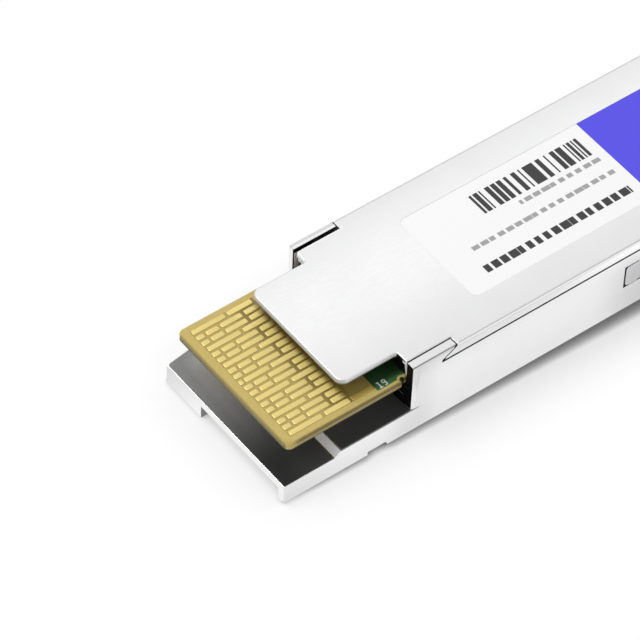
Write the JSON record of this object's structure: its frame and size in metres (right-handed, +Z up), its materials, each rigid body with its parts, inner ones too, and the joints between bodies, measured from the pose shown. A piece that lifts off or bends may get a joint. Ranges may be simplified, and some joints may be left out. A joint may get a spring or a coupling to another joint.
{
  "type": "pluggable loopback module",
  "caption": "Flat rectangular pluggable network loopback module: die-cast shell pair, card-edge board with gold pads, sprung release slider and pull tab.",
  "frame": {"origin": "under the middle of the whole module, on the plane of the heat-sink face", "axes": "+X from the connector end towards the pull tab, +Z up from the heat-sink face to the label side"},
  "size_m": [0.1294, 0.0184, 0.0085],
  "materials": {
    "lower_shell": "polished",
    "upper_shell": "polished",
    "paddle_board": "satin",
    "contact_gold": "satin",
    "insulating_film": "satin",
    "label": "matte",
    "release_steel": "satin",
    "pull_tab": "matte",
    "spring_wire": "satin",
    "screw_steel": "satin",
    "gasket": "matte",
    "chip_ceramic": "satin",
    "resistor_ceramic": "satin",
    "chip_package": "matte",
    "ferrite": "matte",
    "thermal_pad": "matte"
  },
  "bodies": {
    "module": {"lower_shell": "lower_shell", "upper_shell": "upper_shell", "paddle_board": "paddle_board", "upper_contact_pads": "contact_gold", "lower_contact_pads": "contact_gold", "front_insulating_film": "insulating_film", "rear_insulating_film": "insulating_film", "label": "label", "return_spring_left": "spring_wire", "return_spring_right": "spring_wire", "cover_screws": "screw_steel", "emi_gasket": "gasket", "coupling_capacitors": "chip_ceramic", "supply_capacitors": "chip_ceramic", "load_resistors": "resistor_ceramic", "load_transistors": "chip_package", "controller_chip": "chip_package", "temperature_sensors": "chip_package", "filter_inductors": "ferrite", "thermal_pad": "thermal_pad"},
    "release": {"release_bracket": "release_steel", "pull_tab": "pull_tab"}
  },
  "joints": [
    {"name": "release_slide", "type": "slide", "parent": "module", "child": "release", "axis": [1, 0, 0], "range_m": [0, 0.0025], "stiffness_N_per_m": 800, "springref_m": -0.0025, "deforming": ["return_spring_left", "return_spring_right"]}
  ]
}
